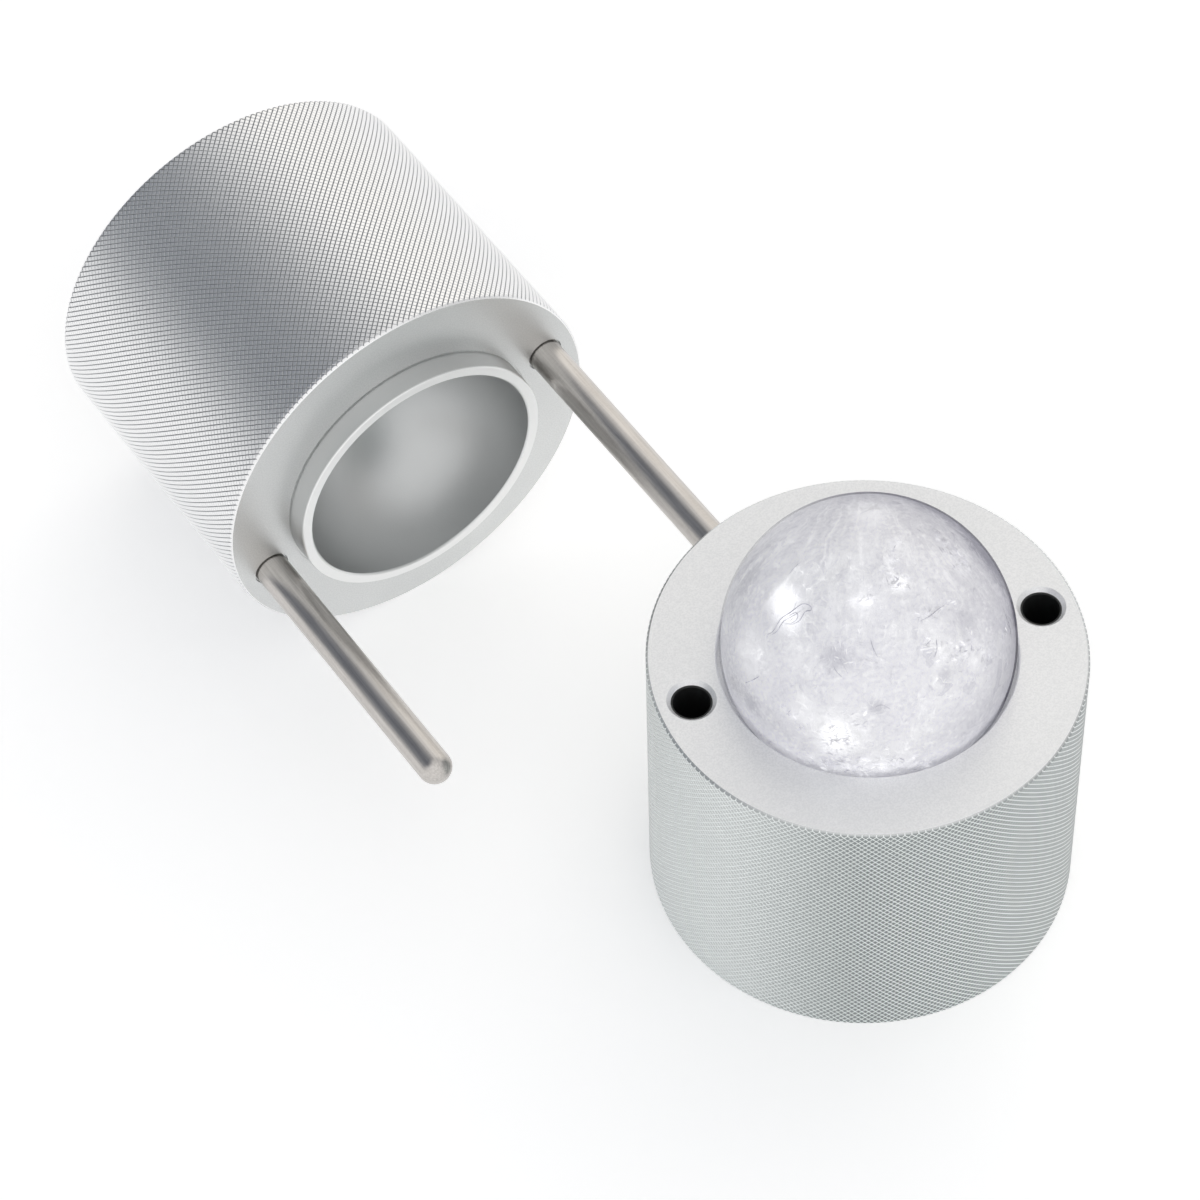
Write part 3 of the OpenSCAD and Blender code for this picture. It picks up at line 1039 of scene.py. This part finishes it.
def crackTree():
    board, given = newTree("iceCracks", (("Paths", "Geometry"), ("Points", "Int"), ("Sides", "Int"),
                                         ("Finish", "Material")), "Cracks")
    paths = board.node("GeometryNodeMeshToCurve", None, {"Mesh": given["Paths"]})
    smooth = board.node("GeometryNodeCurveSplineType", {"spline_type": "CATMULL_ROM"}, {"Curve": paths})
    even = board.node("GeometryNodeResampleCurve", None, {"Curve": smooth, "Count": given["Points"]})
    along = board.node("GeometryNodeSplineParameter")
    taper = (1 - (along * 2 - 1).math("ABSOLUTE") ** 3) * board.marked("wide", "FLOAT")
    ring = board.node("GeometryNodeCurvePrimitiveCircle", None, {"Resolution": given["Sides"], "Radius": 1.0})
    tube = board.node("GeometryNodeCurveToMesh", None,
                      {"Curve": even, "Profile Curve": ring, "Scale": taper, "Fill Caps": True})
    return closeTree(board, tube, given["Finish"])


def makeCracks(finish):
    points, edges, wide = [], [], []
    for radius, depth, places in cracks["lines"]:
        first = len(points)
        points += [tuple(onIce(aside, up, depth * mm)) for aside, up in places]
        wide += [radius * mm] * len(places)
        edges += [(first + i, first + i + 1) for i in range(len(places) - 1)]
    mesh = plainMesh("crackPaths", points, edges, [])
    mark(mesh, "wide", wide)
    made = placed("iceCracks", grown(placed("crackPaths", mesh), crackTree(), {
        "Points": cracks["points"], "Sides": cracks["sides"], "Finish": finish}))
    made.data.polygons.foreach_set("use_smooth", [True] * len(made.data.polygons))
    print("iceCracks has", len(made.data.polygons), "faces")
    return made


iceCore = iceForm("iceCore", ice["clearLayer"], iceCoreFinish(), ice["coreRelief"])
iceShell = iceForm("iceShell", 0.0, iceShellFinish())
iceFlakes = makeFlakes(iceFlakeFinish())
iceCracks = makeCracks(crackFinish())
print("ice ball made")


# Each piece rides on its body and stands for its CAD node

for piece, body, node, slotName in (
        (lowerMould, "lower", "lower_mould", "mould_aluminium"),
        (upperMould, "upper", "upper_mould", "mould_aluminium"),
        (rods[0], "upper", "left_guide_rod", "rod_steel"),
        (rods[1], "upper", "right_guide_rod", "rod_steel"),
        (bushes[0], "lower", "left_guide_bush", "bush_liner"),
        (bushes[1], "lower", "right_guide_bush", "bush_liner"),
        (iceShell, "ball", "ice_ball", "ice"),
        (iceCore, "ball", "ice_ball", "ice"),
        (iceFlakes, "ball", "ice_ball", "ice"),
        (iceCracks, "ball", "ice_ball", "ice")):
    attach(piece, body)
    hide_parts(node)
print("pieces placed on their bodies")


# Floor, light and camera

stage = {
    "floorColour": (0.93, 0.93, 0.93, 1),
    "floorSize": 5.0,
    "floorDrop": 0.2 * mm,
    "floorLift": 0.34,
    "worldColour": (0.72, 0.72, 0.72, 1),
    # light and dark fields round the object: way, cosines where a field starts and is full, colour
    "fields": [
        (Vector((0.62, 0.66, 0.42)), 0.74, 0.96, (1.15, 1.12, 1.07, 1)),
        (Vector((-0.93, -0.10, 0.15)), 0.55, 0.95, (1.05, 1.05, 1.05, 1)),
        (Vector((-0.20, -0.78, 0.58)), 0.40, 0.95, (1.06, 1.06, 1.06, 1)),
        (Vector((-0.69, 0.31, 0.66)), 0.66, 0.97, (0.170, 0.188, 0.225, 1)),
    ],
    "lampAim": Vector((-0.03, 0.06, 0.05)),
    "lamps": [
        # name, way from the object, distance, width, height, radiance
        ("backSoftbox", Vector((0.30, 0.55, 0.78)), 1.3, 1.2, 0.8, 0.14),
    ],
}


def makeStage():
    far, low = stage["floorSize"], -stage["floorDrop"]
    corners = [(-far, -far, low), (far, -far, low), (far, far, low), (-far, far, low)]
    mesh = plainMesh("floor", corners, [], [(0, 1, 2, 3)])
    board = newFinish("paleFloor")
    surface = board.surface({"Base Color": stage["floorColour"], "Roughness": 0.9,
                             "Specular IOR Level": 0.1})
    seen = board.node("ShaderNodeLightPath", out="Is Camera Ray")
    mirrored = Wire(board, seen.socket.node.outputs["Is Glossy Ray"])
    throughIce = Wire(board, seen.socket.node.outputs["Is Transmission Ray"])
    lift = (seen + mirrored + throughIce).math("MINIMUM", 1.0) * stage["floorLift"]
    glow = board.node("ShaderNodeEmission", None, {"Color": (1, 1, 1, 1), "Strength": lift})
    mesh.materials.append(board.close(board.node("ShaderNodeAddShader", None, {0: surface, 1: glow})))
    placed("floor", mesh)

    world = bpy.data.worlds.new("studio")
    scene.world = world
    board = emptied(world)
    way = board.node("ShaderNodeTexCoord", out=0)
    colour = stage["worldColour"]
    for fieldWay, start, full, fieldColour in stage["fields"]:
        toward = board.dot(way, fieldWay.normalized())
        colour = board.blend(board.ramp(toward, start, full), colour, fieldColour)
    light = board.node("ShaderNodeBackground", None, {"Color": colour, "Strength": 1.0})
    board.node("ShaderNodeOutputWorld", None, {"Surface": light})

    for name, way, distance, width, height, radiance in stage["lamps"]:
        lamp = bpy.data.lights.new(name, "AREA")
        lamp.shape = "RECTANGLE"
        lamp.size, lamp.size_y = width, height
        lamp.energy = radiance * math.pi * width * height
        holder = placed(name, lamp)
        way = way.normalized()
        holder.location = way * distance + stage["lampAim"]
        holder.rotation_mode = "QUATERNION"
        holder.rotation_quaternion = way.to_track_quat("Z", "Y")


camera = {
    "place": Vector((-0.2272, -0.5866, 0.9250)),
    "right": Vector((0.952, -0.306, -0.0116)),
    "forward": Vector((0.1725, 0.5676, -0.8051)),
    "aimAside": -85 / 5262 + 28 / 4890,
    "aimUp": 113 / 5262 - 47 / 4890,
    "focalPixels": 4890,
    "imageWidth": 1200,
    "sensorWidth": 36.0,
    "clip": (0.05, 50.0),
}


def makeCamera():
    forward = camera["forward"].normalized()
    right = (camera["right"] - forward * camera["right"].dot(forward)).normalized()
    up = right.cross(forward)
    forward = (forward + right * camera["aimAside"] + up * camera["aimUp"]).normalized()
    right = (right - forward * right.dot(forward)).normalized()
    up = right.cross(forward)
    data = bpy.data.cameras.new("photoCamera")
    data.sensor_width = camera["sensorWidth"]
    data.lens = camera["focalPixels"] / camera["imageWidth"] * camera["sensorWidth"]
    data.clip_start, data.clip_end = camera["clip"]
    made = placed("photoCamera", data)
    made.matrix_world = Matrix.Translation(camera["place"]) @ Matrix(
        (right, up, -forward)).transposed().to_4x4()
    scene.camera = made


makeStage()
makeCamera()
scene.view_settings.view_transform = "Standard"
print("floor, light and camera set")
